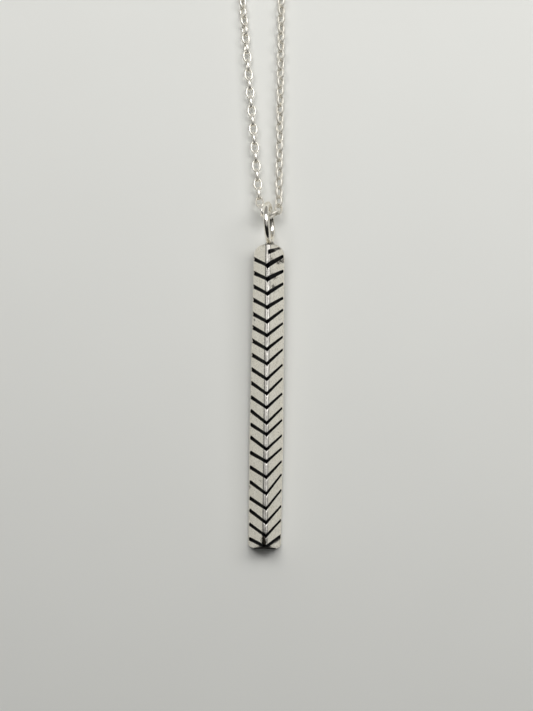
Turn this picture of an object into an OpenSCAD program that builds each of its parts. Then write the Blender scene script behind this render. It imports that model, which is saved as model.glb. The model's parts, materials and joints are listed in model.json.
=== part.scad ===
// Silver bar pendant of triangular section, lying ridge up with its chain.
// Millimetres. The surface is z = 0, the bar points along +Y, and the origin is the
// middle of the bar's lower back edge, which rests on the surface.

/* [Bar] */
// Length of the bar along its flat back
bar_length = 38; // [36:0.5:40]
// Width of the bar at its widest
bar_width = 4.2; // [4.1:0.1:4.6]
// Width of the back at the lower end
foot_width = 4; // [3.9:0.1:4.1]
// Width of the back at the upper end
head_width = 3.8; // [3.6:0.1:4]
// Distance of the widest place from the lower end
widest_at = 14; // [10:1:20]
// Width of the burnished strip along the ridge
ridge_flat = 0.5; // [0.3:0.1:0.7]
// Radius of the two long edges of the back
edge_radius = 0.15; // [0.15:0.05:0.3]
// How far the lower end leans back at the ridge
foot_rake = 0.2; // [0.1:0.1:0.6]
// How far the upper end leans back at the ridge
head_rake = 0.6; // [0.2:0.1:0.8]
// Radius of the two corners at the lower end, seen from above
foot_corner = 0.7; // [0.3:0.1:1]
// Radius of the two shoulders at the upper end, seen from above
head_corner = 1.5; // [0.6:0.1:1.7]

/* [Grooves] */
// Distance from the long edges of the back to the outer ends of the grooves
groove_margin = 0.2; // [0.1:0.05:0.4]
// Half the plain stretch between two grooves that meet at the ridge
groove_gap = 0; // [0:0.02:0.2]

/* [Ring] */
// Outer diameter of the soldered ring
ring_size = 5.6; // [4.8:0.1:6]
// Thickness of the ring's wire
ring_wire = 0.66; // [0.6:0.02:0.8]
// Height of the ring's middle above the flat back of the bar
ring_height = 1.5; // [1.3:0.1:1.6]
// Depth to which the ring is let into the upper end
ring_sink = 0.15; // [0.1:0.05:0.3]
// Lean of the ring to the left of upright
ring_lean = 11; // [0:1:14]
// Turn of the ring to the left of the bar's axis
ring_turn = 3; // [0:1:6]
// Radius of the blob of solder under the ring
solder_radius = 0.6; // [0.5:0.05:0.65]

/* [Chain] */
// Distance from one link of the chain to the next
link_pitch = 1.21; // [1.18:0.01:1.21]
// Overall length of a link
link_length = 1.8; // [1.78:0.01:1.81]
// Overall width of a link
link_width = 1.15; // [1.1:0.01:1.16]
// Thickness of a link's wire
link_wire = 0.23; // [0.2:0.01:0.23]

/* [Clasp] */
// Outer diameter of the clasp's ring
clasp_size = 5.5; // [5:0.1:6]
// Thickness of the clasp's ring
clasp_wire = 1.1; // [0.9:0.1:1.2]
// Outer diameter of the eye at each end of the clasp
eye_size = 2.2; // [2:0.1:2.4]
// Thickness of an eye's wire
eye_wire = 0.5; // [0.4:0.05:0.6]

/* [Hidden] */
$fn = 48;

SILVER = [0.80, 0.79, 0.76];

// Columns of the chevron table, all in millimetres
RIDGE_Y = 0;
LEFT_RISE = 1;
LEFT_WIDE = 2;
RIGHT_RISE = 3;
RIGHT_WIDE = 4;
// One row for each chevron from the ring down: where it meets the ridge, how far its
// left and right grooves rise towards the long edges, and how wide each groove is
CHEVRONS = [
    [36.3, 0, 0, 1.3, 0.50],
    [34.8, 1.4, 0.44, 1.7, 0.56],
    [33.1, 1.3, 0.46, 1.5, 0.52],
    [31.3, 1.4, 0.44, 1.7, 0.46],
    [29.6, 1.4, 0.46, 1.6, 0.46],
    [27.8, 1.4, 0.46, 1.9, 0.42],
    [26.1, 1.4, 0.48, 1.9, 0.40],
    [24.4, 1.4, 0.48, 1.9, 0.40],
    [22.6, 1.4, 0.46, 2.1, 0.40],
    [20.7, 1.5, 0.46, 2.1, 0.38],
    [18.9, 1.6, 0.44, 2.2, 0.38],
    [17.2, 1.5, 0.44, 2.0, 0.38],
    [15.3, 1.7, 0.44, 2.1, 0.38],
    [13.9, 1.4, 0.44, 2.0, 0.38],
    [12.1, 1.6, 0.44, 1.9, 0.36],
    [10.6, 1.2, 0.46, 1.8, 0.36],
    [8.7, 1.3, 0.44, 2.1, 0.38],
    [6.7, 1.5, 0.44, 2.5, 0.36],
    [4.9, 1.3, 0.44, 2.4, 0.36],
    [3.2, 1.5, 0.44, 2.1, 0.38],
    [1.6, 1.4, 0.40, 2.0, 0.38],
    [0.3, 0.9, 0.42, 1.4, 0.38],
];
// How far a groove's cutter stands above the face it cuts
cutter_top = 0.15;

// The joints between links where the chain goes through the ring, left to right.
// roll turns the link that ends at the joint about its own length, from lying flat.
JOINT_X = 0;
JOINT_Y = 1;
JOINT_Z = 2;
ROLL = 3;
BEND = [
    [-1.39, 43.99, 0.94, 0],
    [-1.23, 42.93, 1.29, 7],
    [-0.86, 41.78, 1.74, 99],
    [-0.01, 41.49, 1.94, 171],
    [1.05, 42.18, 1.51, 81],
    [1.13, 43.02, 1.07, 27],
];
// Height of the chain's middle where it lies on the surface
chain_height = 0.58;

// The chain's hidden stretch, from the end of each row of links round to the clasp
LEFT_ROUTE = [
    [-4.3, 74], [-5.5, 84], [-8, 94], [-12, 103.5], [-17, 112],
    [-23, 120], [-30.5, 127.5], [-38, 134.5], [-45, 142.5], [-50.5, 151],
    [-54.5, 161], [-56.5, 171.5], [-56.5, 181.5], [-54, 191.5], [-49.5, 201],
    [-43, 209.5], [-35, 216.5], [-26.5, 221.5], [-20, 224], [-13.5, 225.5],
];
RIGHT_ROUTE = [
    [1.1, 74], [1.7, 84], [3.5, 94], [6.5, 103.5], [10.5, 113],
    [16, 121.5], [22.5, 129.5], [29.5, 137.5], [36, 146], [40.5, 155],
    [43.5, 165], [44.5, 175.5], [43.5, 185.5], [40.5, 195], [35.5, 204],
    [28.5, 212], [20.5, 218.5], [12, 223], [4, 225.5], [-3.5, 226.5],
];
// Gap from the last link of a row to the plain stretch of the chain
chain_gap = 0.15;
// Rings of the tube from one point of the route to the next
ring_steps = 2;
tube_sides = 8;
// Polygon of a link, and of its wire
link_sides = 12;
wire_sides = 6;
// Roll from each link to the next where the chain is straight
NEXT_ROLL = 90;
// A row's links lie upright and flat by turns as far as this link, and from there each
// turns a little more until they are half way between, as all of the right row's are
left_turn_from = 14;
right_turn_from = -8;
turn_step = 6;
HALF_ROLL = 45;
clasp_place = [-8.5, 226, 0];
clasp_turn = 6;

slope = 60;
// Width of the section before its long edges are rounded
sharp_width = bar_width + 2 * edge_radius * (1 / tan(slope / 2) - 1);
ridge_height = (sharp_width - ridge_flat) / 2 * tan(slope);
ring_radius = (ring_size - ring_wire) / 2;
ring_end = bar_length - head_rake * ring_height / ridge_height;
ring_out = ring_size / 2 - ring_sink;
ring_reach = ring_end + ring_out * cos(ring_turn);
// The ring touches the surface and props up the bar's upper end
ring_top_height = ring_radius * cos(ring_lean) + ring_wire / 2;
bar_tilt = asin(ring_top_height / norm([ring_reach, ring_height])) - atan2(ring_height, ring_reach);

function unit(v) = v / norm(v);
// Points of an arc about (x, z) from angle a to angle b
function arc(x, z, r, a, b, steps = 6) =
    [for (i = [0:steps]) let (t = a + (b - a) * i / steps) [x + r * cos(t), z + r * sin(t)]];

// The bar's section, with its base on the x axis
module section() {
    corner = bar_width / 2 - edge_radius;
    polygon(concat(
        arc(corner, edge_radius, edge_radius, -90, 90 - slope),
        [[ridge_flat / 2, ridge_height], [-ridge_flat / 2, ridge_height]],
        arc(-corner, edge_radius, edge_radius, 90 + slope, 270)
    ));
}

// The bar's outline from above
module outline() {
    foot = foot_width / 2;
    head = head_width / 2;
    polygon(concat(
        arc(foot - foot_corner, foot_corner, foot_corner, -90, 0),
        [[bar_width / 2, widest_at]],
        arc(head - head_corner, bar_length - head_corner, head_corner, 0, 90),
        arc(-head + head_corner, bar_length - head_corner, head_corner, 90, 180),
        [[-bar_width / 2, widest_at]],
        arc(-foot + foot_corner, foot_corner, foot_corner, 180, 270)
    ));
}

// The bar's outline from the side, with both ends leaning in
module side_view() {
    polygon([
        [0, 0], [bar_length, 0],
        [bar_length - head_rake, ridge_height], [foot_rake, ridge_height]
    ]);
}

module plain_bar() {
    intersection() {
        translate([0, bar_length, 0]) rotate([90, 0, 0]) linear_extrude(bar_length) section();
        translate([0, 0, -1]) linear_extrude(ridge_height + 2) outline();
        translate([-bar_width, 0, 0]) rotate([90, 0, 90]) linear_extrude(2 * bar_width) side_view();
    }
}

// A V-shaped cutter in the left face, from its outer end at y = outer to y = inner
module groove(outer, inner, wide) {
    start = ((sharp_width - bar_width) / 2 + groove_margin) / cos(slope);
    end = (sharp_width / 2 - groove_gap) / cos(slope);
    run = norm([end - start, inner - outer]);
    half = wide / 2 + cutter_top;
    translate([-sharp_width / 2, 0, 0])
        rotate([0, -slope, 0])
            translate([start, outer, 0])
                rotate([90, 0, 90 + atan2(inner - outer, end - start)])
                    linear_extrude(run)
                        polygon([[-half, cutter_top], [0, -wide / 2], [half, cutter_top]]);
}

module grooves() {
    for (row = CHEVRONS) {
        if (row[LEFT_WIDE] > 0)
            groove(row[RIDGE_Y] + row[LEFT_RISE], row[RIDGE_Y], row[LEFT_WIDE]);
        mirror([1, 0, 0])
            groove(row[RIDGE_Y] + row[RIGHT_RISE], row[RIDGE_Y], row[RIGHT_WIDE]);
    }
}

// The ring on edge at the bar's upper end, with its solder
module ring() {
    translate([0, ring_end, ring_height]) {
        rotate([0, 0, ring_turn])
            translate([0, ring_out, 0])
                rotate([0, 90 - ring_lean, 0])
                    rotate_extrude() translate([ring_radius, 0]) circle(d = ring_wire);
        sphere(solder_radius);
    }
}

// Grooved bar and soldered ring, one piece of silver
module pendant() {
    color(SILVER)
        rotate([bar_tilt, 0, 0])
            union() {
                difference() {
                    plain_bar();
                    grooves();
                }
                ring();
            }
}

// Points of one link between joints a and b, rolled about its length
function link_points(a, b, roll) =
    let (
        along = unit(b - a),
        flat = unit(cross([0, 0, 1], along)),
        across = flat * cos(roll) + cross(along, flat) * sin(roll),
        normal = cross(along, across),
        bend = (link_width - link_wire) / 2,
        straight = (link_length - link_width) / 2
    )
    [for (i = [0:link_sides - 1])
        let (
            t = 360 * (i + 0.5) / link_sides,
            out = along * cos(t) + across * sin(t),
            middle = (a + b) / 2 + out * bend + along * straight * sign(cos(t))
        )
        for (j = [0:wire_sides - 1])
            let (q = 360 * (j + 0.5) / wire_sides)
            middle + link_wire / 2 * (out * cos(q) + normal * sin(q))];

// Faces of a closed loop of rings, whose points start at number first
function link_faces(first) =
    [for (i = [0:link_sides - 1], j = [0:wire_sides - 1])
        let (k = (i + 1) % link_sides, m = (j + 1) % wire_sides)
        [for (p = [[i, j], [i, m], [k, m], [k, j]]) first + p[0] * wire_sides + p[1]]];

function joint(row) = [row[JOINT_X], row[JOINT_Y], row[JOINT_Z]];

// The joints of a straight row of links from point a to point b
function row_count(a, b) = floor(norm(b - a) / link_pitch);
function row_joints(a, b) = [for (i = [0:row_count(a, b)]) a + unit(b - a) * link_pitch * i];

last_bend = len(BEND) - 1;
// How far a link reaches past its joint, and where the plain stretch starts after it
link_past = (link_length - link_pitch) / 2;
function row_end(joints) =
    let (n = len(joints) - 1)
    joints[n] + unit(joints[n] - joints[n - 1]) * (link_past + chain_gap);
left_joints = row_joints(joint(BEND[0]), concat(LEFT_ROUTE[0], chain_height));
right_joints = row_joints(joint(BEND[last_bend]), concat(RIGHT_ROUTE[0], chain_height));
// The links of a straight row, each as its two joints and its roll
function row(joints, turn_from) =
    [for (i = [1:len(joints) - 1])
        let (turn = min(max(i - turn_from, 0) * turn_step, HALF_ROLL))
        [joints[i - 1], joints[i], NEXT_ROLL * (i % 2) + turn]];
links = concat(
    row(left_joints, left_turn_from),
    [for (i = [1:last_bend]) [joint(BEND[i - 1]), joint(BEND[i]), BEND[i][ROLL]]],
    row(right_joints, right_turn_from)
);

// The interlocking links from the ring up both strands
module chain_links() {
    color(SILVER)
        polyhedron(
            points = [for (l = links) each link_points(l[0], l[1], l[2])],
            faces = [for (i = [0:len(links) - 1]) each link_faces(i * link_sides * wire_sides)]
        );
}

// Smooth curve through the points of a route
function along_route(p, i, t) =
    let (
        before = i > 0 ? p[i - 1] : 2 * p[0] - p[1],
        after = i + 2 < len(p) ? p[i + 2] : 2 * p[i + 1] - p[i]
    )
    (2 * p[i] + (p[i + 1] - before) * t
        + (2 * before - 5 * p[i] + 4 * p[i + 1] - after) * t * t
        + (3 * p[i] - before - 3 * p[i + 1] + after) * t * t * t) / 2;
function curve(p) = concat(
    [for (i = [0:len(p) - 2], k = [0:ring_steps - 1]) along_route(p, i, k / ring_steps)],
    [p[len(p) - 1]]
);

// A tube as thick as the chain from the end of a row along its route on the surface
module tube(joints, route) {
    start = row_end(joints);
    c = curve(concat([[start[0], start[1]]], [for (i = [1:len(route) - 1]) route[i]]));
    n = len(c);
    rings = [for (i = [0:n - 1])
        let (
            ahead = unit(c[min(i + 1, n - 1)] - c[max(i - 1, 0)]),
            side = [ahead[1], -ahead[0], 0]
        )
        for (j = [0:tube_sides - 1])
            let (q = 360 * j / tube_sides)
            concat(c[i], chain_height) + link_width / 2 * (side * cos(q) + [0, 0, sin(q)])];
    walls = [for (i = [0:n - 2], j = [0:tube_sides - 1])
        let (m = (j + 1) % tube_sides)
        [for (k = [[i, j], [i, m], [i + 1, m], [i + 1, j]]) k[0] * tube_sides + k[1]]];
    ends = [
        [for (j = [tube_sides - 1:-1:0]) j],
        [for (j = [0:tube_sides - 1]) (n - 1) * tube_sides + j]
    ];
    polyhedron(rings, concat(walls, ends));
}

// The rest of the chain, plain
module chain_back() {
    color(SILVER) {
        tube(left_joints, LEFT_ROUTE);
        tube(right_joints, RIGHT_ROUTE);
    }
}

// A closed ring with an eye at each end, lying flat
module clasp() {
    eye_out = (clasp_size + eye_size) / 2 - eye_wire;
    color(SILVER)
        translate(clasp_place + [0, 0, clasp_wire / 2])
            rotate([0, 0, clasp_turn])
                union() {
                    rotate_extrude() translate([(clasp_size - clasp_wire) / 2, 0]) circle(d = clasp_wire);
                    for (side = [-1, 1])
                        translate([side * eye_out, 0, 0])
                            rotate_extrude() translate([(eye_size - eye_wire) / 2, 0]) circle(d = eye_wire);
                }
}

pendant();
chain_links();
chain_back();
clasp();
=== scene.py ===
"""Looks of a silver bar pendant with herringbone grooves, lying on a pale table with its chain."""

import json
import math

import bpy
import numpy as np
from mathutils import Matrix, Vector


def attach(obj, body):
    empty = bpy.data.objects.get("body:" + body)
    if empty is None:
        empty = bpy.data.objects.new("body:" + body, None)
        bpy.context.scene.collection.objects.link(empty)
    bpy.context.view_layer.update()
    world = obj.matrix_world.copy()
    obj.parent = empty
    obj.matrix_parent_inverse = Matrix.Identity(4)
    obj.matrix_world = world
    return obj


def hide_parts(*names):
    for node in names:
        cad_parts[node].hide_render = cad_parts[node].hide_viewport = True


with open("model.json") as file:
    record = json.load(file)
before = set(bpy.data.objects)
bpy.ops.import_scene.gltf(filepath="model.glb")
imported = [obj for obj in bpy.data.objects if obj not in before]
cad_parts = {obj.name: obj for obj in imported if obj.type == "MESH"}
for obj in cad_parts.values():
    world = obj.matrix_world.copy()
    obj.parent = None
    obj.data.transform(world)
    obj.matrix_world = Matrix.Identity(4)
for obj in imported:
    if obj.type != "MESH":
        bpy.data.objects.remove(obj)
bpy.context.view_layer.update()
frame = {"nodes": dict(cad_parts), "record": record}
scene = bpy.context.scene
MM = 0.001


# Camera: the photograph's view, from above and a little below the bar's lower end
IMAGE_HEIGHT_PX = 711
FOCAL_PX = 1700
SENSOR_MM = 36
CLIP_NEAR = 0.005
CLIP_FAR = 10
CAMERA_AT = Vector((-7.54, -9.20, 209.99)) * MM
CAMERA_RIGHT = Vector((0.9992, 0.0147, 0.0377))
CAMERA_BACK = Vector((-0.0349, -0.1563, 0.9871))


def make_camera():
    data = bpy.data.cameras.new("camera")
    data.sensor_width = SENSOR_MM
    data.lens = FOCAL_PX * SENSOR_MM / IMAGE_HEIGHT_PX
    data.clip_start = CLIP_NEAR
    data.clip_end = CLIP_FAR
    camera = bpy.data.objects.new("camera", data)
    back = CAMERA_BACK.normalized()
    up = back.cross(CAMERA_RIGHT).normalized()
    right = up.cross(back)
    turn = Matrix((right, up, back)).transposed()
    camera.matrix_world = Matrix.Translation(CAMERA_AT) @ turn.to_4x4()
    scene.collection.objects.link(camera)
    scene.camera = camera


# Dimensions in millimetres, as in the part's source
BAR_LENGTH = 38
BAR_WIDTH = 4.2
FOOT_WIDTH = 4.0
HEAD_WIDTH = 3.8
WIDEST_AT = 14
RIDGE_FLAT = 0.5
EDGE_RADIUS = 0.15
FOOT_RAKE = 0.2
HEAD_RAKE = 0.6
FOOT_CORNER = 0.7
HEAD_CORNER = 1.5
GROOVE_MARGIN = 0.2
RING_SIZE = 5.6
RING_WIRE = 0.66
RING_HEIGHT = 1.5
RING_SINK = 0.15
RING_LEAN = math.radians(11)
RING_TURN = math.radians(3)
SOLDER_RADIUS = 0.6
SLOPE_DEGREES = 60
SLOPE = math.radians(SLOPE_DEGREES)
SHARP_WIDTH = BAR_WIDTH + 2 * EDGE_RADIUS * (1 / math.tan(SLOPE / 2) - 1)
RIDGE_HEIGHT = (SHARP_WIDTH - RIDGE_FLAT) / 2 * math.tan(SLOPE)

# One row for each chevron from the ring down: where it meets the ridge, how far its left
# groove rises towards the edge and its width, then the same for its right groove
CHEVRONS = [
    (36.3, 0, 0, 1.3, 0.50),
    (34.8, 1.4, 0.44, 1.7, 0.56),
    (33.1, 1.3, 0.46, 1.5, 0.52),
    (31.3, 1.4, 0.44, 1.7, 0.46),
    (29.6, 1.4, 0.46, 1.6, 0.46),
    (27.8, 1.4, 0.46, 1.9, 0.42),
    (26.1, 1.4, 0.48, 1.9, 0.40),
    (24.4, 1.4, 0.48, 1.9, 0.40),
    (22.6, 1.4, 0.46, 2.1, 0.40),
    (20.7, 1.5, 0.46, 2.1, 0.38),
    (18.9, 1.6, 0.44, 2.2, 0.38),
    (17.2, 1.5, 0.44, 2.0, 0.38),
    (15.3, 1.7, 0.44, 2.1, 0.38),
    (13.9, 1.4, 0.44, 2.0, 0.38),
    (12.1, 1.6, 0.44, 1.9, 0.36),
    (10.6, 1.2, 0.46, 1.8, 0.36),
    (8.7, 1.3, 0.44, 2.1, 0.38),
    (6.7, 1.5, 0.44, 2.5, 0.36),
    (4.9, 1.3, 0.44, 2.4, 0.36),
    (3.2, 1.5, 0.44, 2.1, 0.38),
    (1.6, 1.4, 0.40, 2.0, 0.38),
    (0.3, 0.9, 0.42, 1.4, 0.38),
]
LEFT, RIGHT = -1, 1
# Each side's run is how far across its face a groove reaches from the ridge. By hand, the
# left grooves end nearer the edge, at a margin of their own
LEFT_MARGIN = 0.05
RISE_RUN = BAR_WIDTH / 2 - GROOVE_MARGIN
RUNS = {
    LEFT: (BAR_WIDTH / 2 - LEFT_MARGIN) / math.cos(SLOPE),
    RIGHT: RISE_RUN / math.cos(SLOPE),
}
# Two grooves that meet run on this far below their marked meeting place
MEETING_DROP = 0.15
# A groove with no partner starts this far from the ridge
LONE_START = 0.4
# How wide each groove is at the ridge and at its outer end, as a share of its width
TAPERS = {LEFT: (0.9, 1.1), RIGHT: (1.15, 0.75)}
# How steep a groove's walls are, and how deep it is, as shares of half its width
GROOVE_STEEPNESS = 1.2
GROOVE_DEPTH = 0.85
# Distance over which a groove's edge goes from bare metal to full black
INK_SPREAD = 0.2
# How far the ridge stands off the bar's middle, and how far off the ridge the grooves
# meet, both to the right, at the lower and the upper end
RIDGE_SHIFT = (-0.08, -0.30)
MEETING_SHIFT = (0.12, -0.05)


def mesh_object(name, points, quads, materials, **values):
    """A smooth-shaded mesh object from millimetre points and quads, with named values a point."""
    mesh = bpy.data.meshes.new(name)
    points = np.asarray(points, float) * MM
    mesh.from_pydata(points.tolist(), [], [list(map(int, q)) for q in quads])
    mesh.polygons.foreach_set("use_smooth", [True] * len(mesh.polygons))
    for key, value in values.items():
        add_values(mesh, key, value)
    for material in materials:
        mesh.materials.append(material)
    mesh.update()
    piece = bpy.data.objects.new(name, mesh)
    scene.collection.objects.link(piece)
    return piece


def add_values(mesh, key, value):
    """Gives each point of the mesh a named value."""
    layer = mesh.attributes.new(key, "FLOAT", "POINT")
    layer.data.foreach_set("value", np.asarray(value, np.float32))


def sides_of(chevron, side):
    """Ridge place, rise and width of one chevron's groove on one side."""
    ridge, left_rise, left_wide, right_rise, right_wide = chevron
    rise, wide = (left_rise, left_wide) if side == LEFT else (right_rise, right_wide)
    drop = MEETING_DROP if left_wide > 0 else 0
    return ridge - drop, rise + drop, wide


def groove_reach(rise, wide, side):
    """Half of a groove's width measured along the bar."""
    slant = math.atan2(rise, RUNS[side])
    return wide / 2 / math.cos(slant)


def half_width(y):
    """Half of the bar's width, narrower towards both ends."""
    stations = (0, WIDEST_AT, BAR_LENGTH)
    return np.interp(y, stations, (FOOT_WIDTH / 2, BAR_WIDTH / 2, HEAD_WIDTH / 2))


def corner_back(x, half, radius):
    """How far a rounded corner pulls the end back at distance x from the middle."""
    over = np.clip(np.abs(x) - (half - radius), 0, radius)
    return radius - np.sqrt(radius ** 2 - over ** 2)


def foot_y(x, z):
    """Where along the bar the end face of its foot lies, at x, z."""
    return FOOT_RAKE * z / RIDGE_HEIGHT + corner_back(x, FOOT_WIDTH / 2, FOOT_CORNER)


def head_y(x, z):
    """Where along the bar the end face under the ring lies, at x, z."""
    return BAR_LENGTH - HEAD_RAKE * z / RIDGE_HEIGHT - corner_back(x, HEAD_WIDTH / 2, HEAD_CORNER)


# The bar is a net of rows and columns, in millimetres. Columns run along the bar, and rows
# follow the grooves: some across each groove, in halves of its width from its middle line,
# some between one groove and the next, and some above the last, in shares of the way. More
# lie close together at both ends, in millimetres from the end
ROWS_ACROSS_GROOVE = (-1.5, -1.2, -1.06, -0.94, -0.7, -0.35, 0, 0.35, 0.7, 0.94, 1.06, 1.2, 1.5)
ROWS_BETWEEN = (0.2, 0.4, 0.6, 0.8)
ROWS_ABOVE = (0.3, 0.6, 0.9)
ABOVE_UP_TO = BAR_LENGTH - 0.2
END_STEPS = (0, 0.008, 0.025, 0.05, 0.08, 0.12)
# Radius of the rounding where the top of the bar meets its two ends
END_ROUND = 0.08
FACE_FRACTIONS = (0, 0.015, 0.04, 0.08, 0.13, 0.19, 0.26, 0.34, 0.42, 0.5, 0.58, 0.66, 0.73, 0.79,
                  0.835, 0.865, 0.885, 0.9, 0.915, 0.93, 0.945, 0.965, 0.985)
# How many degrees a face's outward normal points above level, and that of the crest
# where the ridge's strip and a face meet
FACE_NORMAL = 90 - SLOPE_DEGREES
CREST_NORMAL = 50
# Columns from the middle of the ridge to the middle of the back. The side edge is rounded
# twice: above a low wall, where it meets the face, and below it, where it meets the back
COLUMNS = (
    [("strip", f) for f in (0, 0.2, 0.4, 0.6, 0.78, 0.92)]
    + [("face", f) for f in FACE_FRACTIONS]
    + [("upper", a) for a in (FACE_NORMAL, FACE_NORMAL / 2, 0)]
    + [("lower", a) for a in (0, -30, -60, -90)]
    + [("back", f) for f in (0.75, 0.4)]
)
N_COLUMNS = len(COLUMNS)
CARVED = np.array([kind in ("strip", "face") for kind, value in COLUMNS], float)
# Marks the bar's points away from the strip and faces in the "across" values
OFF_TOP = 9.0
# The burnished strip is a shallow arch that runs a little way down each face
STRIP_SPREAD = 0.09
STRIP_HALF = RIDGE_FLAT / 2 + STRIP_SPREAD
STRIP_DROP = STRIP_SPREAD * math.tan(SLOPE)
# The lower rounding takes at most this share of the wall. The upper one reaches so far
# down it, and at most so large a share of it
LOWER_SHARE = 0.7
UPPER_REACH = 0.08
UPPER_SHARE = 0.25
# Rings of points that close each end, as shares of the way out from the cap's centre
CAP_FRACTIONS = (0.985, 0.96, 0.92, 0.86, 0.78, 0.66, 0.5, 0.3, 0.12)
CAP_CENTRE_Z = 1.2
# How strongly the two end faces are stained, and how far from its middle the foot is black
END_STAIN = 0.4
BLACK_REACH = 1.35


def column_section(kind, value, y):
    """x and z of one column of the right half at places y, and its normal's angle above level."""
    half = half_width(y)
    flat = RIDGE_FLAT / 2
    wall = RIDGE_HEIGHT - (half - flat) * math.tan(SLOPE)
    lower = np.minimum(EDGE_RADIUS, LOWER_SHARE * wall)
    tangent = np.minimum(UPPER_REACH, UPPER_SHARE * wall)
    upper = tangent / math.tan(math.radians(FACE_NORMAL / 2))
    if kind == "strip":
        angle = 90 - math.degrees(math.atan(2 * STRIP_DROP / STRIP_HALF * value))
        return value * STRIP_HALF, RIDGE_HEIGHT - STRIP_DROP * value ** 2, angle
    if kind == "face":
        face_end = half - upper + upper * math.cos(math.radians(FACE_NORMAL))
        x = STRIP_HALF + value * (face_end - STRIP_HALF)
        angle = FACE_NORMAL if value > 0 else CREST_NORMAL
        return x, RIDGE_HEIGHT - (x - flat) * math.tan(SLOPE), angle
    if kind == "back":
        return value * (half - lower), 0, -90
    angle = math.radians(value)
    if kind == "upper":
        return half - upper + upper * math.cos(angle), wall - tangent + upper * math.sin(angle), value
    return half - lower + lower * math.cos(angle), lower + lower * math.sin(angle), value


def section_points(y):
    """x, z and outward normal of the right half's columns, each at its own places y."""
    x, z, nx, nz = np.zeros((4, *y.shape))
    for j, (kind, value) in enumerate(COLUMNS):
        x[:, j], z[:, j], angle = column_section(kind, value, y[:, j])
        nx[:, j] = math.cos(math.radians(angle))
        nz[:, j] = math.sin(math.radians(angle))
    return x, z, nx, nz


# Spots on the top of the bar: x, y, reach across, reach along, strength
STAINS = [
    (-0.12, 0.6, 0.3, 1.3, 1.7),
    (0, 0.15, 0.9, 0.35, 1.4),
    (0, 0, 1.6, 0.12, 1.5),
    (0, 37.5, 0.75, 0.25, 1.0),
    (0, 34.5, 0.3, 3.0, 0.45),
    (0.5, 35.4, 0.25, 0.5, 0.8),
    (1.2, 35.4, 0.35, 0.25, 1.0),
    (1.6, 35.7, 0.35, 0.25, 1.1),
    (1.9, 36.0, 0.3, 0.3, 1.1),
    (0.7, 33.6, 0.4, 0.5, 1.0),
    (0.75, 32.1, 0.35, 0.5, 0.95),
    (-1.7, 28.3, 0.12, 0.2, 0.9),
    (-0.6, 8.2, 0.2, 0.2, 0.9),
    (-1.95, 7.5, 0.15, 0.25, 0.9),
]
# The topmost groove is shallow and has lost part of its black
WORN_SPOTS = [(1.2, 37.0, 0.9, 0.6, 0.53)]


def row_line(chevron, off):
    """A row's place at the ridge and its rise, on the left and then the right, so many half
    widths of the chevron's grooves above their middle lines."""
    line = []
    for side in (LEFT, RIGHT):
        ridge, rise, wide = sides_of(chevron, side)
        if wide == 0:
            ridge, rise, wide = sides_of(chevron, RIGHT)
        line.append(ridge + off * groove_reach(rise, wide, side))
        line.append(rise * RISE_RUN / RUNS[side] / math.cos(SLOPE))
    return np.array(line)


def rows_towards(last, target, fractions):
    """Rows at these shares of the way from the last row to another."""
    return [last + (target - last) * f for f in fractions]


def row_lines():
    """All rows from the foot up, but for those close to the two ends."""
    rows = []
    for chevron in reversed(CHEVRONS):
        group = [row_line(chevron, off) for off in ROWS_ACROSS_GROOVE]
        if rows:
            rows += rows_towards(rows[-1], group[0], ROWS_BETWEEN)
        rows += group
    rows += rows_towards(rows[-1], np.array([ABOVE_UP_TO, 0, ABOVE_UP_TO, 0]), ROWS_ABOVE)
    return np.array(rows)


def carve(x, y):
    """Depth of the grooves at places x, y, and how black they are: 0.5 is a groove's edge."""
    inside = np.full_like(x, -1.0)
    depth = np.zeros_like(x)
    for chevron in CHEVRONS:
        start = 0 if sides_of(chevron, LEFT)[2] > 0 else LONE_START
        for side in (LEFT, RIGHT):
            ridge, rise, wide = sides_of(chevron, side)
            if wide == 0:
                continue
            # The groove's middle line on the face, from the ridge to its round outer end
            length = math.hypot(RUNS[side], rise)
            along_x, along_y = RUNS[side] / length, rise / length
            u, v = x * side / math.cos(SLOPE), y - ridge
            place = np.clip(u * along_x + v * along_y, start, length - wide / 2)
            off = np.hypot(u - place * along_x, v - place * along_y)
            half = wide / 2 * np.interp(place, (0, length), TAPERS[side])
            depth = np.maximum(depth, half * np.clip(GROOVE_STEEPNESS * (1 - off / half), 0, GROOVE_DEPTH))
            inside = np.maximum(inside, half - off)
    depth *= CARVED
    ink = np.clip(0.5 + inside / INK_SPREAD, 0, 1) * CARVED
    return depth, ink


def spotted(x, y, spots):
    """How strongly the spots show at places x, y."""
    shown = np.zeros_like(x)
    for place_x, place_y, reach_x, reach_y, strength in spots:
        far = ((x - place_x) / reach_x) ** 2 + ((y - place_y) / reach_y) ** 2
        shown = np.maximum(shown, strength * np.exp(-far))
    return shown


def between_ends(y, values):
    """A value that changes evenly along the bar, from its lower to its upper end."""
    return np.interp(y, (0, BAR_LENGTH), values)


def soft_step(t, scale=0.06):
    """Stays above zero, and equals t well above it."""
    return scale * np.logaddexp(0, t / scale)


def net_places(start, rise):
    """How far along the bar each point of one side lies, from its rows' lines."""
    widest = section_points(np.full((1, N_COLUMNS), float(WIDEST_AT)))
    reach = widest[0][0] / RISE_RUN
    reach[[kind == "back" for kind, value in COLUMNS]] = reach.max()
    raw = start[:, None] + rise[:, None] * reach[None, :]
    x, z = section_points(raw)[:2]
    margin = END_STEPS[-1]
    body = foot_y(x, z) + margin + soft_step(raw - foot_y(x, z) - margin)
    body = head_y(x, z) - margin - soft_step(head_y(x, z) - margin - body)
    steps = np.array(END_STEPS)[:, None]
    x, z = section_points(np.zeros((len(END_STEPS), N_COLUMNS)))[:2]
    low = foot_y(x, z) + steps
    x, z = section_points(np.full((len(END_STEPS), N_COLUMNS), float(BAR_LENGTH)))[:2]
    top = head_y(x, z) - steps[::-1]
    return np.concatenate([low, body, top])


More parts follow.
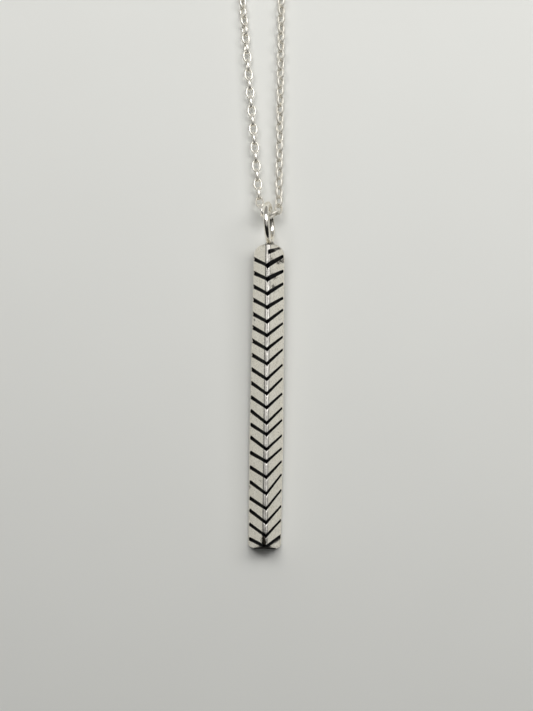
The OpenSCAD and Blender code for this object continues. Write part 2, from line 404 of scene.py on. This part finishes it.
def end_inset(x, y, z):
    """How far the rounding at the two ends lies inside the bar, less round its corners."""
    near = np.clip(np.minimum(y - foot_y(x, z), head_y(x, z) - y), 0, END_ROUND)
    inset = END_ROUND - np.sqrt(END_ROUND ** 2 - (END_ROUND - near) ** 2)
    low_end = y < BAR_LENGTH / 2
    radius = np.where(low_end, FOOT_CORNER, HEAD_CORNER)
    straight = np.where(low_end, FOOT_WIDTH, HEAD_WIDTH) / 2 - radius
    return inset * np.clip(1 - np.clip(x - straight, 0, None) / radius, 0, 1) ** 2


def half_net(side, lines):
    """Columns of one side of the bar, from the ridge to the back, in rows: x, y, z and values."""
    start, rise = lines[:, :2].T if side == LEFT else lines[:, 2:].T
    y = net_places(start, rise)
    x, z, nx, nz = section_points(y)
    inset = end_inset(x, y, z)
    across = np.where(CARVED > 0, x * side, OFF_TOP)
    depth, ink = carve(x * side - between_ends(y, MEETING_SHIFT), y)
    ink *= 1 - spotted(x * side, y, WORN_SPOTS)
    stain = spotted(x * side, y, STAINS) * CARVED
    z = z - nz * (depth + inset)
    x = (x - nx * (depth + inset)) * side + between_ends(y, RIDGE_SHIFT) * z / RIDGE_HEIGHT
    return x, y, z, ink, stain, across


def bar_net():
    """Points, quads, faces of the foot and values of the closed bar, before it is tilted."""
    lines = row_lines()
    sides = zip(half_net(RIGHT, lines), half_net(LEFT, lines))
    x, y, z, *values = [np.concatenate([right[:, ::-1], left[:, 1:]], 1) for right, left in sides]
    n_rows, n_cols = x.shape
    points = np.stack([x, y, z], -1).reshape(-1, 3)
    ink, stain, across = [value.reshape(-1) for value in values]
    quads = []
    for r in range(n_rows - 1):
        for c in range(n_cols):
            d = (c + 1) % n_cols
            quads.append((r * n_cols + c, r * n_cols + d, (r + 1) * n_cols + d, (r + 1) * n_cols + c))
    # The foot's cap comes last, so its faces are the last ones
    for loop, end_y, flip in (
        (range((n_rows - 1) * n_cols, n_rows * n_cols), head_y, False),
        (range(n_cols), foot_y, True),
    ):
        n_before = len(quads)
        added, more = cap(points, list(loop), end_y, flip)
        points = np.concatenate([points, added])
        ink = np.concatenate([ink, np.zeros(len(added))])
        stain = np.concatenate([stain, np.full(len(added), END_STAIN)])
        across = np.concatenate([across, np.full(len(added), OFF_TOP)])
        quads += more
    foot_faces = range(n_before, len(quads))
    return points, quads, foot_faces, {"ink": ink, "stain": stain, "across": across}


def cap(points, loop, end_y, flip):
    """Rings of points that close one end of the bar, and their faces."""
    rim = points[loop][:, [0, 2]]
    centre = np.array([0, CAP_CENTRE_Z])
    start = len(points)
    added, faces, last = [], [], loop
    n = len(loop)
    for f in CAP_FRACTIONS:
        flat = centre + (rim - centre) * f
        added.append(np.stack([flat[:, 0], end_y(flat[:, 0], flat[:, 1]), flat[:, 1]], -1))
        ring = list(range(start, start + n))
        start += n
        for i in range(n):
            j = (i + 1) % n
            faces.append((last[i], last[j], ring[j], ring[i]))
        last = ring
    added.append(np.array([[0, float(end_y(0.0, CAP_CENTRE_Z)), CAP_CENTRE_Z]]))
    faces += [(last[i], last[(i + 1) % n], start) for i in range(n)]
    if flip:
        faces = [face[::-1] for face in faces]
    return np.concatenate(added), faces


# The bar leans on its ring, so its back is tilted; the record's flat mount says by how much
BACK_AXIS = next(m["axis"] for m in frame["record"]["mounts"] if m["name"] == "back")
BAR_TILT = math.atan2(BACK_AXIS[1], -BACK_AXIS[2])
RING_RADIUS = (RING_SIZE - RING_WIRE) / 2
RING_END = BAR_LENGTH - HEAD_RAKE * RING_HEIGHT / RIDGE_HEIGHT
RING_OUT = RING_SIZE / 2 - RING_SINK
# The ring and its solder are fused at this grain, then smoothed so strongly, so many times
SOLDER_GRAIN = 0.045
FLOW_STRENGTH = 0.5
FLOW_STEPS = 6
# Length of the bead of solder along the bar, as a share of its width
SOLDER_FLATNESS = 0.75
# How strongly the metal round the soldered joint is stained, how far from its middle, and
# the distance over which the stain fades
JOINT_STAIN = 0.7
JOINT_STAIN_REACH = 1.1
JOINT_STAIN_FADE = 0.3


def smooth(x):
    """Goes from 0 to 1 as x does, and is level at both ends."""
    x = np.clip(x, 0, 1)
    return x * x * (3 - 2 * x)


def tilted(points):
    """Points of the bar's own frame, as the bar lies."""
    c, s = math.cos(BAR_TILT), math.sin(BAR_TILT)
    x, y, z = np.asarray(points, float).T
    return np.stack([x, y * c - z * s, y * s + z * c], -1)


def torus(radius, wire, around=120, sides=28):
    """Points and quads of a ring of wire in the x, y plane."""
    points, quads = [], []
    for i in range(around):
        a = 2 * math.pi * i / around
        for j in range(sides):
            b = 2 * math.pi * j / sides
            r = radius + wire / 2 * math.cos(b)
            points.append((r * math.cos(a), r * math.sin(a), wire / 2 * math.sin(b)))
            k, m = (i + 1) % around, (j + 1) % sides
            quads.append((i * sides + j, k * sides + j, k * sides + m, i * sides + m))
    return np.array(points), quads


def make_pendant(silver, blackened, polished):
    """The bar, black in the middle of its foot, and its ring, as one piece."""
    points, faces, foot_faces, values = bar_net()
    materials = [silver, blackened, polished]
    bar = mesh_object("pendant_bar", tilted(points), faces, materials, **values)
    for i in foot_faces:
        face = bar.data.polygons[i]
        if abs(face.center.x) < BLACK_REACH * MM:
            face.material_index = materials.index(blackened)
    ring = make_ring(polished)
    join(bar, [ring])
    bar.name = "pendant_silver"
    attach(bar, "root")
    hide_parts("pendant")


def make_ring(polished):
    """The soldered ring and its bead of solder, melted into one."""
    points, quads = torus(RING_RADIUS, RING_WIRE)
    place = (
        Matrix.Translation((0, RING_END, RING_HEIGHT))
        @ Matrix.Rotation(RING_TURN, 4, "Z")
        @ Matrix.Translation((0, RING_OUT, 0))
        @ Matrix.Rotation(math.pi / 2 - RING_LEAN, 4, "Y")
    )
    points = np.array([place @ Vector(p) for p in points])
    ring = mesh_object("ring", tilted(points), quads, [polished])
    bead_points, bead_faces = solder_bead()
    bead = mesh_object("solder", tilted(bead_points), bead_faces, [polished])
    join(ring, [bead])
    remesh = ring.modifiers.new("melt", "REMESH")
    remesh.mode = "VOXEL"
    remesh.voxel_size = SOLDER_GRAIN * MM
    remesh.use_smooth_shade = True
    flow = ring.modifiers.new("flow", "SMOOTH")
    flow.factor = FLOW_STRENGTH
    flow.iterations = FLOW_STEPS
    apply_modifiers(ring)
    places = np.array([v.co for v in ring.data.vertices]) / MM
    joint = tilted([[0, RING_END, RING_HEIGHT]])[0]
    far = np.linalg.norm(places - joint, axis=1)
    add_values(ring.data, "stain", JOINT_STAIN * smooth((JOINT_STAIN_REACH - far) / JOINT_STAIN_FADE))
    return ring


def solder_bead(around=32, rings=16):
    """A flattened bead spread over the end of the bar."""
    points, faces = [], []
    for i in range(rings + 1):
        a = math.pi * i / rings
        for j in range(around):
            b = 2 * math.pi * j / around
            x = SOLDER_RADIUS * math.sin(a) * math.cos(b)
            y = SOLDER_RADIUS * SOLDER_FLATNESS * math.cos(a)
            z = SOLDER_RADIUS * math.sin(a) * math.sin(b)
            points.append((x, RING_END + y, RING_HEIGHT + z))
    for i in range(rings):
        for j in range(around):
            k = (j + 1) % around
            faces.append((i * around + j, i * around + k, (i + 1) * around + k, (i + 1) * around + j))
    return points, faces


def join(piece, others):
    bpy.ops.object.select_all(action="DESELECT")
    for o in [piece] + others:
        o.select_set(True)
    bpy.context.view_layer.objects.active = piece
    bpy.ops.object.join()


def apply_modifiers(piece):
    bpy.context.view_layer.update()
    depsgraph = bpy.context.evaluated_depsgraph_get()
    mesh = bpy.data.meshes.new_from_object(piece.evaluated_get(depsgraph))
    piece.modifiers.clear()
    piece.data = mesh


# The chain's oval links, with the part's pitch and width. The part keeps its round-wired
# links well clear of each other; here they have little play, and their wire is somewhat
# flattened: thin in the link's own plane and thick across it
LINK_PITCH = 1.21
LINK_WIRE = 0.24
LINK_THICK = 0.36
LINK_PLAY = 0.04
LINK_LENGTH = LINK_PITCH + 2 * LINK_WIRE + LINK_PLAY
LINK_WIDTH = 1.15
CHAIN_HEIGHT = 0.58
# How many points go round a link and round its wire, where it shows close up and where not
FINE_NET = (36, 12)
COARSE_NET = (20, 8)
# Degrees that each link is rolled from the one before it, and the roll of one on edge
NEXT_ROLL = 90
UPRIGHT = 90
# The straight rows turn slowly too: from which link on, by how many degrees at each link,
# and up to how many. A negative start means that the row's first link is turned already
LEFT_TURN_FROM = 14
RIGHT_TURN_FROM = -8
TURN_STEP = 6
MOST_TURN = 45
# Joints between the links at the ring, from the left row to the right one, and the roll of
# the link that ends at each
BEND = [
    (-1.39, 43.99, 0.94, 0),
    (-1.23, 42.93, 1.29, 7),
    (-0.86, 41.78, 1.74, 99),
    (-0.01, 41.49, 1.94, 171),
    (1.05, 42.18, 1.51, 81),
    (1.13, 43.02, 1.07, 27),
]
# Each strand's way from the end of its straight row round to the clasp, as places x, y
LEFT_ROUTE = [
    (-4.3, 74), (-5.5, 84), (-8, 94), (-12, 103.5), (-17, 112),
    (-23, 120), (-30.5, 127.5), (-38, 134.5), (-45, 142.5), (-50.5, 151),
    (-54.5, 161), (-56.5, 171.5), (-56.5, 181.5), (-54, 191.5), (-49.5, 201),
    (-43, 209.5), (-35, 216.5), (-26.5, 221.5), (-20, 224), (-13.5, 225.5),
]
RIGHT_ROUTE = [
    (1.1, 74), (1.7, 84), (3.5, 94), (6.5, 103.5), (10.5, 113),
    (16, 121.5), (22.5, 129.5), (29.5, 137.5), (36, 146), (40.5, 155),
    (43.5, 165), (44.5, 175.5), (43.5, 185.5), (40.5, 195), (35.5, 204),
    (28.5, 212), (20.5, 218.5), (12, 223), (4, 225.5), (-3.5, 226.5),
]
# The clasp's middle and its turn in degrees, and how far from its middle a strand's last
# joint lies
CLASP_AT = (-8.5, 226)
CLASP_TURN = 6
HOOK_REACH = 3.81


def unit(v):
    return v / np.linalg.norm(v)


def link(a, b, roll, around, sides):
    """Points of one oval link between joints a and b, rolled by so many degrees."""
    along = unit(b - a)
    flat = unit(np.cross((0, 0, 1), along))
    roll = math.radians(roll)
    across = flat * math.cos(roll) + np.cross(along, flat) * math.sin(roll)
    normal = np.cross(along, across)
    half_length = (LINK_LENGTH - LINK_WIRE) / 2
    half_wide = (LINK_WIDTH - LINK_WIRE) / 2
    points = []
    for i in range(around):
        t = 2 * math.pi * (i + 0.5) / around
        middle = (a + b) / 2 + along * half_length * math.cos(t) + across * half_wide * math.sin(t)
        out = unit(along * half_wide * math.cos(t) + across * half_length * math.sin(t))
        for j in range(sides):
            q = 2 * math.pi * (j + 0.5) / sides
            wire = out * LINK_WIRE / 2 * math.cos(q) + normal * LINK_THICK / 2 * math.sin(q)
            points.append(middle + wire)
    return points


def link_mesh(name, links, net, material):
    """All the links as one mesh object, with so many points round each link and its wire."""
    around, sides = net
    points, quads = [], []
    for a, b, roll in links:
        first = len(points)
        points += link(a, b, roll, around, sides)
        for i in range(around):
            for j in range(sides):
                k, m = (i + 1) % around, (j + 1) % sides
                quads.append([first + p * sides + q for p, q in ((i, j), (i, m), (k, m), (k, j))])
    return mesh_object(name, points, quads, [material])


def row_joints(a, b):
    """Joints of a straight row of links from a as far towards b as whole links go."""
    count = int(np.linalg.norm(b - a) / LINK_PITCH)
    return [a + unit(b - a) * LINK_PITCH * i for i in range(count + 1)]


def row(joints, turn_from):
    """The links between the joints of a straight row, each with its roll."""
    links = []
    for i in range(1, len(joints)):
        turn = min(max(i - turn_from, 0) * TURN_STEP, MOST_TURN)
        links.append((joints[i - 1], joints[i], NEXT_ROLL * (i % 2) + turn))
    return links


def front_chain(material):
    """Both straight rows and the links at the ring; gives each row's last joint and roll."""
    bend = [np.array(r[:3]) for r in BEND]
    left = row_joints(bend[0], np.array([*LEFT_ROUTE[0], CHAIN_HEIGHT]))
    right = row_joints(bend[-1], np.array([*RIGHT_ROUTE[0], CHAIN_HEIGHT]))
    links = row(left, LEFT_TURN_FROM)
    links += [(bend[i - 1], bend[i], BEND[i][3]) for i in range(1, len(bend))]
    links += row(right, RIGHT_TURN_FROM)
    chain = link_mesh("chain_front", links, FINE_NET, material)
    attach(chain, "root")
    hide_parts("chain_links")
    return (left[-1], links[len(left) - 2][2]), (right[-1], links[-1][2])


def along_route(route, steps=12):
    """A smooth curve through the points of a route."""
    p = [np.array(q, float) for q in route]
    p = [2 * p[0] - p[1]] + p + [2 * p[-1] - p[-2]]
    curve = []
    for i in range(1, len(p) - 2):
        for k in range(steps):
            t = k / steps
            curve.append((2 * p[i] + (p[i + 1] - p[i - 1]) * t
                          + (2 * p[i - 1] - 5 * p[i] + 4 * p[i + 1] - p[i + 2]) * t ** 2
                          + (3 * p[i] - p[i - 1] - 3 * p[i + 1] + p[i + 2]) * t ** 3) / 2)
    return np.array(curve + [p[-2]])


def even_steps(curve, pitch):
    """Points at even distances along a curve, as near to the pitch as its length allows."""
    lengths = np.concatenate([[0], np.cumsum(np.linalg.norm(np.diff(curve, axis=0), axis=1))])
    count = math.ceil(lengths[-1] / pitch)
    wanted = np.linspace(0, lengths[-1], count + 1)
    return np.stack([np.interp(wanted, lengths, curve[:, k]) for k in range(curve.shape[1])], -1)


def hooked_joint(side):
    """The last joint of a strand, which puts its last link through the clasp's eye on that side."""
    turn = math.radians(CLASP_TURN)
    x, y = CLASP_AT
    return (x + side * HOOK_REACH * math.cos(turn), y + side * HOOK_REACH * math.sin(turn))


def back_chain(left_end, right_end, material):
    """The rest of both strands, from the straight rows round to the clasp."""
    links = []
    for side, (end, roll), route in ((LEFT, left_end, LEFT_ROUTE), (RIGHT, right_end, RIGHT_ROUTE)):
        # The left strand comes to the clasp from its left, and the right strand from its right
        path = along_route([tuple(end[:2])] + route[1:-1] + [hooked_joint(side)])
        path = np.concatenate([path, np.full((len(path), 1), CHAIN_HEIGHT)], 1)
        joints = even_steps(path, LINK_PITCH)
        count = len(joints) - 1
        # Each link is a quarter turn from the last, and a slow twist brings the one in the eye upright
        twist = (UPRIGHT - roll - NEXT_ROLL * count) % 180
        for i in range(1, count + 1):
            links.append((joints[i - 1], joints[i], roll + NEXT_ROLL * i + twist * i / count))
    chain = link_mesh("chain_rear", links, COARSE_NET, material)
    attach(chain, "root")
    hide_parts("chain_back")


# Shader nodes
def new_material(name):
    material = bpy.data.materials.new(name)
    material.use_nodes = True
    return material, material.node_tree, material.node_tree.nodes["Principled BSDF"]


def place_noise(tree, kind, longer=1.0, turn=0.0):
    """A kind of noise over the object's own place, drawn out longer one way."""
    scale, detail = NOISES[kind]
    where = tree.nodes.new("ShaderNodeTexCoord")
    mapping = tree.nodes.new("ShaderNodeMapping")
    mapping.vector_type = "TEXTURE"
    mapping.inputs["Rotation"].default_value = (0, 0, turn)
    mapping.inputs["Scale"].default_value = (1, longer, 1)
    noise = tree.nodes.new("ShaderNodeTexNoise")
    noise.inputs["Scale"].default_value = scale
    noise.inputs["Detail"].default_value = detail
    tree.links.new(where.outputs["Object"], mapping.inputs["Vector"])
    tree.links.new(mapping.outputs["Vector"], noise.inputs["Vector"])
    return noise.outputs["Fac"]


def map_range(tree, value, low, high, to_low, to_high):
    """The value, moved from one range to another and kept inside it."""
    node = tree.nodes.new("ShaderNodeMapRange")
    tree.links.new(value, node.inputs["Value"])
    for key, number in (("From Min", low), ("From Max", high), ("To Min", to_low), ("To Max", to_high)):
        node.inputs[key].default_value = number
    return node.outputs["Result"]


def mix_colour(tree, factor, a, b):
    node = tree.nodes.new("ShaderNodeMix")
    node.data_type = "RGBA"
    tree.links.new(factor, node.inputs["Factor"])
    for key, value in (("A", a), ("B", b)):
        socket = [s for s in node.inputs if s.name == key and s.type == "RGBA"][0]
        if isinstance(value, bpy.types.NodeSocket):
            tree.links.new(value, socket)
        else:
            socket.default_value = value
    return [s for s in node.outputs if s.type == "RGBA"][0]


def arithmetic(tree, operation, a, b):
    node = tree.nodes.new("ShaderNodeMath")
    node.operation = operation
    for i, value in enumerate((a, b)):
        if isinstance(value, bpy.types.NodeSocket):
            tree.links.new(value, node.inputs[i])
        else:
            node.inputs[i].default_value = value
    return node.outputs[0]


def bump(tree, shader, height, distance):
    node = tree.nodes.new("ShaderNodeBump")
    node.inputs["Distance"].default_value = distance
    node.inputs["Strength"].default_value = 1
    tree.links.new(height, node.inputs["Height"])
    tree.links.new(node.outputs["Normal"], shader.inputs["Normal"])


# Materials
SILVER_LIGHT = (0.97, 0.935, 0.86, 1)
SILVER_WARM = (0.93, 0.89, 0.795, 1)
# Painted shade for the wire to the right of the bar's middle
WIRE_SHADE_TONE = (0.50, 0.48, 0.42, 1)
# The strip's streaky tone, darker than the faces' metal: partly real burnish streaks, partly painted shade
# that dims the strip's mirror brightness
STRIP_STREAK_AND_SHADE_DIM = (0.50, 0.48, 0.44, 1)
STRIP_STREAK_AND_SHADE_LIGHT = (0.90, 0.87, 0.81, 1)
SCRATCH = (0.62, 0.59, 0.53, 1)
OXIDE = (0.003, 0.003, 0.004, 1)
STAIN = (0.03, 0.026, 0.02, 1)
# Kinds of noise: features a metre, and detail
NOISES = {
    "table tone": (60, 3),
    "bar waves": (700, 2),
    "bar tone": (900, 4),
    "wire tone": (1500, 3),
    "bar roughness": (2500, 4),
    "wire waves": (2500, 3),
    "wire roughness": (3000, 3),
    "line breaks": (4000, 3),
    "foot patches": (6000, 4),
    "stain edges": (8000, 4),
    "groove edges": (9000, 3),
    "streaks": (9000, 3),
}
# The lowest and highest values of noise that count, where it is spread over a full range
NOISE_SPAN = (0.3, 0.7)
TONE_SPAN = (0.35, 0.65)
SCRATCH_SPAN = (0.5, 0.72)
BREAK_SPAN = (0.4, 0.55)
# How much longer than wide a scratch or streak is, and how far the scratches on the faces
# turn from the bar's length
STREAK_STRETCH = 12
SCRATCH_TURN = 0.7
# How far noise moves the edges of the black and of the stains, and the values of a point
# where each begins and where it is full
INK_RAGGED = 0.1
INK_EDGE = (0.35, 0.53)
STAIN_RAGGED = 0.5
STAIN_EDGE = (0.35, 0.9)
# Fine dark lines along the burnished strip, partly scratches and partly painted dark reflections: place
# across it, half width and darkness. Each is full in its core, a share of its half width, and drops to a
# share of that at a break
STRIP_SCRATCH_AND_REFLECTION_LINES = ((-0.28, 0.045, 0.7), (0.02, 0.05, 0.8), (0.29, 0.03, 0.2))
LINE_CORE = 0.6
LINE_BREAK = 0.25
# Distance over which the strip's tone turns into the face's
STRIP_FADE = 0.03
# Roughness of the bar's metal, what the strip and the black add to it, and that of the
# blackened foot
BAR_ROUGHNESS = (0.24, 0.38)
STRIP_ROUGHER = 0.15
BLACK_ROUGHER = 0.2
FOOT_ROUGHNESS = (0.7, 0.9)
FOOT_SPECULAR = 0.05
# Heights in metres of the fine waves in the bar's metal and in the wire, and how strongly
# the scratches count among the bar's
BAR_WAVE = 0.00002
WIRE_WAVE = 0.000015
SCRATCH_WAVE = 0.15
# Painted shade on the wire grows from the first to the second place across the bar, in millimetres
WIRE_SHADE_FROM, WIRE_SHADE_TO = -1, 0.5


def point_value(tree, name):
    node = tree.nodes.new("ShaderNodeAttribute")
    node.attribute_name = name
    return node.outputs["Fac"]


def ragged_mask(tree, name, noise, ragged, edge):
    """Where a named value of the points shows, with an edge made ragged by a kind of noise."""
    uneven = map_range(tree, place_noise(tree, noise), *NOISE_SPAN, -ragged, ragged)
    return map_range(tree, arithmetic(tree, "ADD", point_value(tree, name), uneven), *edge, 0, 1)


def stain_mask(tree):
    return ragged_mask(tree, "stain", "stain edges", STAIN_RAGGED, STAIN_EDGE)


def strip_scratch_and_reflection_lines(tree):
    """Broken dark lines along the ridge: partly scratches, partly painted dark reflections."""
    lines = None
    for place, half, darkness in STRIP_SCRATCH_AND_REFLECTION_LINES:
        off = arithmetic(tree, "SUBTRACT", point_value(tree, "across"), place)
        off = arithmetic(tree, "ABSOLUTE", off, 0)
        line = map_range(tree, off, LINE_CORE * half, half, darkness, 0)
        lines = line if lines is None else arithmetic(tree, "MAXIMUM", lines, line)
    broken = map_range(tree, place_noise(tree, "line breaks"), *BREAK_SPAN, LINE_BREAK, 1)
    return arithmetic(tree, "MULTIPLY", lines, broken)


def bar_silver():
    """Satin silver with fine scratches, black in the grooves and streaky along the ridge, where the
    strip's darker tone is partly painted shade and its dark lines are partly painted reflections.
    """
    material, tree, shader = new_material("satin_silver")
    black = ragged_mask(tree, "ink", "groove edges", INK_RAGGED, INK_EDGE)
    # The strip's dark lines, partly painted reflections, join the black of the grooves
    black = arithmetic(tree, "MAXIMUM", black, strip_scratch_and_reflection_lines(tree))
    off_ridge = arithmetic(tree, "ABSOLUTE", point_value(tree, "across"), 0)
    on_strip = map_range(tree, off_ridge, STRIP_HALF - STRIP_FADE, STRIP_HALF + STRIP_FADE, 1, 0)
    tone = map_range(tree, place_noise(tree, "bar tone"), *TONE_SPAN, 0, 1)
    metal = mix_colour(tree, tone, SILVER_LIGHT, SILVER_WARM)
    scratches = place_noise(tree, "streaks", STREAK_STRETCH, SCRATCH_TURN)
    metal = mix_colour(tree, map_range(tree, scratches, *SCRATCH_SPAN, 0, 1), metal, SCRATCH)
    # Painted shade with real streaks: the strip's darker, streaky tone
    streaks = place_noise(tree, "streaks", STREAK_STRETCH)
    strip = mix_colour(tree, map_range(tree, streaks, *TONE_SPAN, 0, 1), STRIP_STREAK_AND_SHADE_DIM, STRIP_STREAK_AND_SHADE_LIGHT)
    metal = mix_colour(tree, on_strip, metal, strip)
    stained = mix_colour(tree, stain_mask(tree), metal, STAIN)
    tree.links.new(mix_colour(tree, black, stained, OXIDE), shader.inputs["Base Color"])
    shader.inputs["Metallic"].default_value = 1
    rough = map_range(tree, place_noise(tree, "bar roughness"), *NOISE_SPAN, *BAR_ROUGHNESS)
    rough = arithmetic(tree, "ADD", rough, map_range(tree, on_strip, 0, 1, 0, STRIP_ROUGHER))
    rough = arithmetic(tree, "ADD", rough, map_range(tree, black, 0, 1, 0, BLACK_ROUGHER))
    tree.links.new(rough, shader.inputs["Roughness"])
    waves = place_noise(tree, "bar waves")
    height = arithmetic(tree, "ADD", arithmetic(tree, "MULTIPLY", scratches, SCRATCH_WAVE), waves)
    bump(tree, shader, height, BAR_WAVE)
    return material


def blackened_silver():
    """The dull black end of the foot."""
    material, tree, shader = new_material("blackened_silver")
    patchy = map_range(tree, place_noise(tree, "foot patches"), *NOISE_SPAN, 0, 1)
    tree.links.new(mix_colour(tree, patchy, OXIDE, STAIN), shader.inputs["Base Color"])
    tree.links.new(map_range(tree, patchy, 0, 1, *FOOT_ROUGHNESS), shader.inputs["Roughness"])
    shader.inputs["Specular IOR Level"].default_value = FOOT_SPECULAR
    return material


def coordinates(tree, kind):
    """The separate X, Y and Z of one kind of texture coordinate."""
    where = tree.nodes.new("ShaderNodeTexCoord")
    parts = tree.nodes.new("ShaderNodeSeparateXYZ")
    tree.links.new(where.outputs[kind], parts.inputs[0])
    return parts.outputs


def wire_silver(name, roughness, right_shade, metallic):
    """Bright silver wire. To the right of the bar's middle it is darkened with painted shade by so much,
    and so much rougher."""
    material, tree, shader = new_material(name)
    tone = map_range(tree, place_noise(tree, "wire tone"), *TONE_SPAN, 0, 1)
    metal = mix_colour(tree, tone, SILVER_LIGHT, SILVER_WARM)
    x = coordinates(tree, "Object")["X"]
    # Painted shade: the wire darkens towards the right
    to_right = map_range(tree, x, WIRE_SHADE_FROM * MM, WIRE_SHADE_TO * MM, 0, right_shade)
    metal = mix_colour(tree, to_right, metal, WIRE_SHADE_TONE)
    tree.links.new(mix_colour(tree, stain_mask(tree), metal, STAIN), shader.inputs["Base Color"])
    shader.inputs["Metallic"].default_value = metallic
    rough = map_range(tree, place_noise(tree, "wire roughness"), *NOISE_SPAN, *roughness)
    tree.links.new(arithmetic(tree, "ADD", rough, to_right), shader.inputs["Roughness"])
    bump(tree, shader, place_noise(tree, "wire waves"), WIRE_WAVE)
    return material


def finish_clasp(material):
    """The clasp keeps its shape and gets the chain's metal."""
    clasp = frame["nodes"]["clasp"]
    clasp.data.materials.clear()
    clasp.data.materials.append(material)


# Table: a plain pale square
TABLE_LIGHT = (0.80, 0.80, 0.76, 1)
TABLE_DARK = (0.79, 0.79, 0.75, 1)
TABLE_ROUGHNESS = 0.6
TABLE_HALF = 1.5


def table_top():
    material, tree, shader = new_material("table_top")
    tone = map_range(tree, place_noise(tree, "table tone"), *NOISE_SPAN, 0, 1)
    tree.links.new(mix_colour(tree, tone, TABLE_LIGHT, TABLE_DARK), shader.inputs["Base Color"])
    shader.inputs["Roughness"].default_value = TABLE_ROUGHNESS
    mesh = bpy.data.meshes.new("table")
    corners = [(x * TABLE_HALF, y * TABLE_HALF, 0) for x, y in ((-1, -1), (1, -1), (1, 1), (-1, 1))]
    mesh.from_pydata(corners, [], [(0, 1, 2, 3)])
    mesh.materials.append(material)
    table = bpy.data.objects.new("table", mesh)
    scene.collection.objects.link(table)


# Light: four soft boxes over the table, the far ones much brighter than the near ones and
# the right ones wider than the left, with a dark gap between left and right, in a dim room
BOX_HEIGHT = 0.23
BOX_GAP = 0.025
BOX_LEFT = -0.185
BOX_LEFT_NEAR = -0.11
BOX_RIGHT = 0.30
BOX_NEAR = -0.05
BOX_MIDDLE = 0.085
BOX_FAR = 0.21
RADIANCE_NEAR = 0.47
RADIANCE_FAR = 4.8
# The room is dim behind the foot of the bar and brighter beyond the chain: the two levels,
# and the Y of the direction in which each is reached
ROOM_DIM = 0.01
ROOM_BRIGHT = 0.26
ROOM_DIM_AT = -0.3
ROOM_BRIGHT_AT = 0.7
ROOM_COLOUR = (1.0, 1.0, 0.985, 1)


def soft_box(name, x_range, y_range, radiance):
    """A flat light of even radiance that faces down."""
    wide = x_range[1] - x_range[0]
    long = y_range[1] - y_range[0]
    data = bpy.data.lights.new(name, "AREA")
    data.shape = "RECTANGLE"
    data.size = wide
    data.size_y = long
    data.energy = radiance * math.pi * wide * long
    light = bpy.data.objects.new(name, data)
    light.location = (sum(x_range) / 2, sum(y_range) / 2, BOX_HEIGHT)
    light.visible_camera = False
    scene.collection.objects.link(light)


def make_lights():
    soft_box("near_left", (BOX_LEFT_NEAR, -BOX_GAP), (BOX_NEAR, BOX_MIDDLE), RADIANCE_NEAR)
    soft_box("near_right", (BOX_GAP, BOX_RIGHT), (BOX_NEAR, BOX_MIDDLE), RADIANCE_NEAR)
    soft_box("far_left", (BOX_LEFT, -BOX_GAP), (BOX_MIDDLE, BOX_FAR), RADIANCE_FAR)
    soft_box("far_right", (BOX_GAP, BOX_RIGHT), (BOX_MIDDLE, BOX_FAR), RADIANCE_FAR)


def make_room():
    world = bpy.data.worlds.new("room")
    scene.world = world
    world.use_nodes = True
    tree = world.node_tree
    tree.nodes.clear()
    y = coordinates(tree, "Generated")["Y"]
    radiance = map_range(tree, y, ROOM_DIM_AT, ROOM_BRIGHT_AT, ROOM_DIM, ROOM_BRIGHT)
    background = tree.nodes.new("ShaderNodeBackground")
    background.inputs["Color"].default_value = ROOM_COLOUR
    tree.links.new(radiance, background.inputs["Strength"])
    out = tree.nodes.new("ShaderNodeOutputWorld")
    tree.links.new(background.outputs[0], out.inputs[0])


make_camera()
make_room()
make_lights()
table_top()
satin = bar_silver()
polished = wire_silver("polished_silver", roughness=(0.10, 0.2), right_shade=0, metallic=1)
# The chain's right strand is darkened by painted shade
chain_silver = wire_silver("chain_silver", roughness=(0.25, 0.37), right_shade=0.22, metallic=0.75)
make_pendant(satin, blackened_silver(), polished)
left_end, right_end = front_chain(chain_silver)
back_chain(left_end, right_end, chain_silver)
finish_clasp(chain_silver)
scene.view_settings.view_transform = "Standard"
